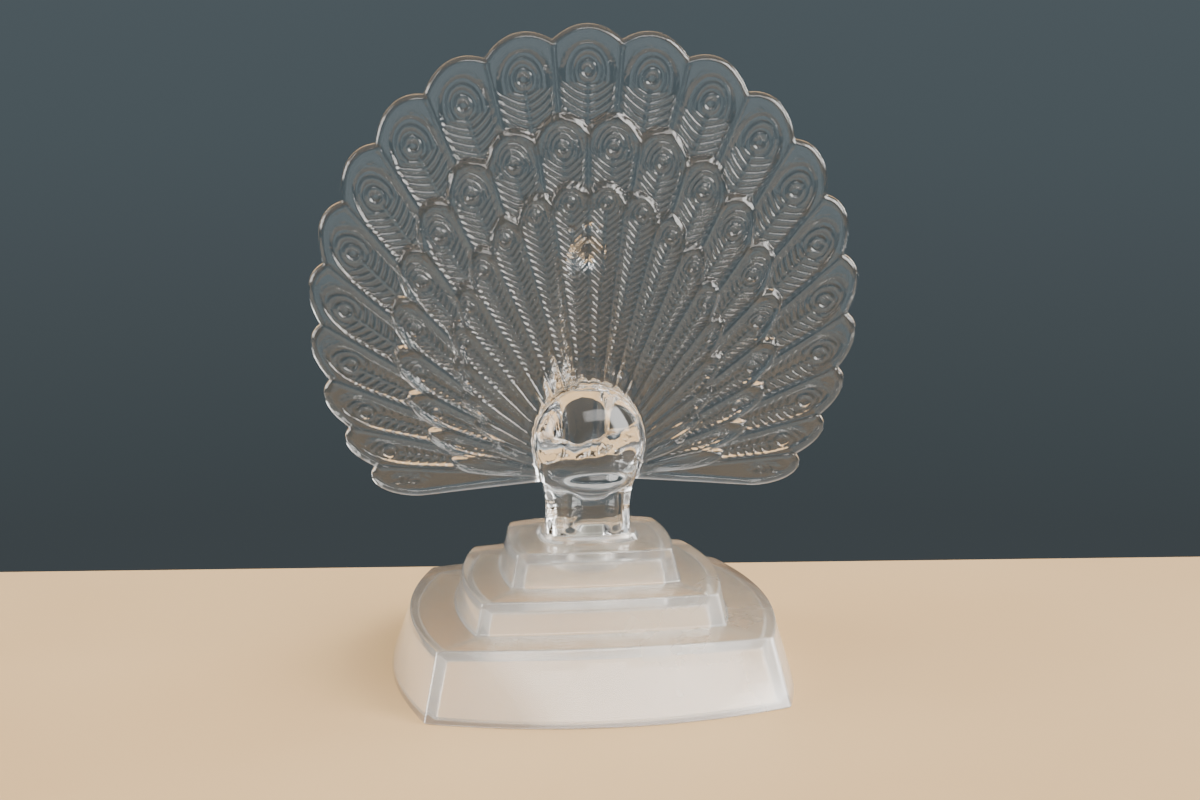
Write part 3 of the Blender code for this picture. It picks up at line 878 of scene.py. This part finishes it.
def satin_glass():
    material, tree, shader = new_material("satin_pressed_glass")
    shader.inputs["IOR"].default_value = 1.50
    patches = noise(tree, 16.0, 5.0)
    grain = noise(tree, 900.0, 3.0, roughness=0.6)
    roughness = remap(tree, patches, 0.3, 0.7, 0.20, 0.30)
    shader.inputs["Coat Weight"].default_value = 1.0
    shader.inputs["Coat Roughness"].default_value = 0.06
    tree.links.new(roughness, shader.inputs["Roughness"])
    # Level treads are clearer than the upright faces, and their colour carries a painted warm
    # reflection of the floor.
    geometry = add_node(tree, "ShaderNodeNewGeometry")
    facing = add_node(tree, "ShaderNodeSeparateXYZ")
    tree.links.new(geometry.outputs["Normal"], facing.inputs[0])
    tread = remap(tree, facing.outputs["Z"], 0.55, 0.92, 0.0, 1.0)
    upright = remap(tree, patches, 0.35, 0.7, 0.89, 0.81)
    clearer = math_node(tree, "ADD", upright, math_node(tree, "MULTIPLY", tread, 0.10))
    # The top tier is thinner and clearer than the two below it.
    height = add_node(tree, "ShaderNodeSeparateXYZ")
    tree.links.new(add_node(tree, "ShaderNodeTexCoord").outputs["Object"], height.inputs[0])
    top_tier = remap(tree, height.outputs["Z"], 0.044, 0.050, 0.0, 0.09)
    clearer = math_node(tree, "MINIMUM", math_node(tree, "ADD", clearer, top_tier), 0.98)
    tree.links.new(clearer, shader.inputs["Transmission Weight"])
    tint = blend_colour(tree, patches, (0.96, 0.94, 0.91), (0.92, 0.90, 0.865))
    # Painted reflection: the warm tan mixed in on upward-facing treads stands in for the floor's
    # warm light, not a colour of the glass.
    tread_painted_reflection = add_node(tree, "ShaderNodeMix", data_type="RGBA")
    tree.links.new(tread, tread_painted_reflection.inputs[0])
    tree.links.new(tint, tread_painted_reflection.inputs[6])
    tread_painted_reflection.inputs[7].default_value = (0.75, 0.685, 0.575, 1)
    tree.links.new(tread_painted_reflection.outputs[2], shader.inputs["Base Color"])
    bump = add_node(tree, "ShaderNodeBump")
    bump.inputs["Strength"].default_value = 0.15
    bump.inputs["Distance"].default_value = 0.0001
    tree.links.new(grain, bump.inputs["Height"])
    tree.links.new(bump.outputs["Normal"], shader.inputs["Normal"])
    let_light_through(tree, shader, 0.60)
    return material


def cement():
    material, tree, shader = new_material("grey_white_cement")
    grain = noise(tree, 700.0, 5.0, roughness=0.7)
    tree.links.new(blend_colour(tree, grain, (0.30, 0.285, 0.25), (0.42, 0.40, 0.36)),
                   shader.inputs["Base Color"])
    tree.links.new(remap(tree, grain, 0.3, 0.7, 0.7, 0.92), shader.inputs["Roughness"])
    bump = add_node(tree, "ShaderNodeBump")
    bump.inputs["Strength"].default_value = 0.5
    bump.inputs["Distance"].default_value = 0.0003
    tree.links.new(grain, bump.inputs["Height"])
    tree.links.new(bump.outputs["Normal"], shader.inputs["Normal"])
    return material


def pale_floor():
    material, tree, shader = new_material("pale_floor")
    mottle = noise(tree, 5.0, 3.0)
    tree.links.new(blend_colour(tree, mottle, (0.650, 0.405, 0.180), (0.700, 0.455, 0.225)),
                   shader.inputs["Base Color"])
    tree.links.new(remap(tree, mottle, 0.3, 0.7, 0.55, 0.7), shader.inputs["Roughness"])
    return material


# ---- staging -------------------------------------------------------------

FLOOR_WIDTH = 3.6
FLOOR_DEPTH = 0.95
FLOOR_EDGE_Y = 0.163            # the back edge stands this far behind the origin
FLOOR_TURN = -4.7
DAYLIGHT = (1.0, 0.99, 0.97)
WARM_LIGHT = (1.0, 0.98, 0.95)
# Direction, half width and half height as tangents, strength and colour.
WINDOWS = (((0.80, -0.42, 0.50), 0.32, 0.34, 17.0, DAYLIGHT),
           ((0.22, -0.80, 0.80), 0.34, 0.18, 6.0, DAYLIGHT),
           ((0.88, 0.40, 0.32), 0.26, 0.22, 12.0, DAYLIGHT),
           ((-0.93, 0.10, 0.26), 0.42, 0.20, 10.5, WARM_LIGHT),
           ((-0.88, -0.10, 0.62), 0.20, 0.20, 3.5, WARM_LIGHT))
# The surround's colour by height: 0 straight down, 0.5 level, 1 straight up.
SURROUND = ((0.0, (0.050, 0.060, 0.066)), (0.37, (0.052, 0.064, 0.070)),
            (0.46, (0.074, 0.095, 0.106)), (0.50, (0.080, 0.103, 0.116)),
            (0.62, (0.085, 0.106, 0.118)), (0.80, (0.42, 0.42, 0.42)),
            (1.0, (0.75, 0.75, 0.74)))


def build_floor():
    bm = bmesh.new()
    bmesh.ops.create_cube(bm, size=1.0)
    bmesh.ops.scale(bm, vec=(FLOOR_WIDTH, FLOOR_DEPTH, 0.02), verts=bm.verts)
    bmesh.ops.translate(bm, vec=(0, -FLOOR_DEPTH / 2, -0.01), verts=bm.verts)
    turn = Matrix.Rotation(math.radians(FLOOR_TURN), 4, "Z")
    bmesh.ops.transform(bm, matrix=Matrix.Translation((0, FLOOR_EDGE_Y, 0)) @ turn,
                        verts=bm.verts)
    mesh = bpy.data.meshes.new("floor")
    bm.to_mesh(mesh)
    bm.free()
    floor = add_object("floor", mesh)
    modifier = floor.modifiers.new("edge", "BEVEL")
    modifier.width = 0.003
    modifier.segments = 3
    floor.data.materials.append(pale_floor())


def build_world():
    """A dark slate surround, a bright ceiling, a lit room in front and five soft windows."""
    world = bpy.data.worlds.new("studio")
    bpy.context.scene.world = world
    world.use_nodes = True
    tree = world.node_tree
    background = tree.nodes["Background"]
    coords = add_node(tree, "ShaderNodeTexCoord")
    split = add_node(tree, "ShaderNodeSeparateXYZ")
    tree.links.new(coords.outputs["Generated"], split.inputs[0])
    ramp = add_node(tree, "ShaderNodeValToRGB")
    lift = remap(tree, split.outputs["Z"], -1.0, 1.0, 0.0, 1.0)
    tree.links.new(lift, ramp.inputs[0])
    elements = ramp.color_ramp.elements
    while len(elements) < len(SURROUND):
        elements.new(0.5)
    for element, (position, colour) in zip(elements, SURROUND):
        element.position = position
        element.color = (*colour, 1)
    # The lit room on the near side, level with the fan.
    front = add_node(tree, "ShaderNodeVectorMath", operation="DOT_PRODUCT")
    tree.links.new(coords.outputs["Generated"], front.inputs[0])
    front.inputs[1].default_value = Vector((0.12, -1.0, -0.06)).normalized()
    room = add_node(tree, "ShaderNodeVectorMath", operation="SCALE")
    room.inputs[0].default_value = (0.80, 0.88, 0.90)
    tree.links.new(remap(tree, front.outputs["Value"], 0.91, 0.99, 0.0, 1.0),
                   room.inputs["Scale"])
    total = room.outputs[0]
    for direction, half_width, half_height, strength, colour in WINDOWS:
        towards = Vector(direction).normalized()
        right = towards.cross(Vector((0, 0, 1))).normalized()
        parts = []
        for axis in (towards, right, right.cross(towards)):
            dot = add_node(tree, "ShaderNodeVectorMath", operation="DOT_PRODUCT")
            tree.links.new(coords.outputs["Generated"], dot.inputs[0])
            dot.inputs[1].default_value = axis
            parts.append(dot.outputs["Value"])
        glow = math_node(tree, "MULTIPLY", remap(tree, parts[0], 0.3, 0.4, 0.0, 1.0), strength)
        ahead = math_node(tree, "MAXIMUM", parts[0], 0.1)
        for part, half in ((parts[1], half_width), (parts[2], half_height)):
            offset = math_node(tree, "ABSOLUTE", math_node(tree, "DIVIDE", part, ahead), 0.0)
            fade = remap(tree, offset, half * 1.15, half * 0.75, 0.0, 1.0)
            glow = math_node(tree, "MULTIPLY", glow, fade)
        tinted = add_node(tree, "ShaderNodeVectorMath", operation="SCALE")
        tinted.inputs[0].default_value = colour
        tree.links.new(glow, tinted.inputs["Scale"])
        join = add_node(tree, "ShaderNodeVectorMath", operation="ADD")
        tree.links.new(total, join.inputs[0])
        tree.links.new(tinted.outputs[0], join.inputs[1])
        total = join.outputs[0]
    join = add_node(tree, "ShaderNodeVectorMath", operation="ADD")
    tree.links.new(total, join.inputs[0])
    tree.links.new(ramp.outputs["Color"], join.inputs[1])
    tree.links.new(join.outputs[0], background.inputs["Color"])


def build_camera():
    data = bpy.data.cameras.new("camera")
    data.lens = 60.0
    data.sensor_width = 36.0
    data.clip_start = 0.01
    camera = bpy.data.objects.new("camera", data)
    bpy.context.scene.collection.objects.link(camera)
    camera.location = (-0.1100, -0.9039, 0.3215)
    camera.rotation_euler = (math.pi / 2 - 0.2097, 0.0, -0.1265)
    bpy.context.scene.camera = camera


# ---- assembly ------------------------------------------------------------

build_camera()
build_floor()
build_world()

peacock = build_peacock()
peacock.data.materials.clear()
peacock.data.materials.append(clear_glass())
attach(peacock, "root")
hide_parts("peacock")

plinth = build_plinth()
plinth.data.materials.clear()
plinth.data.materials.append(satin_glass())
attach(plinth, "root")
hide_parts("plinth")

cement_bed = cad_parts["cement_bed"]
cement_bed.data.materials.clear()
cement_bed.data.materials.append(cement())
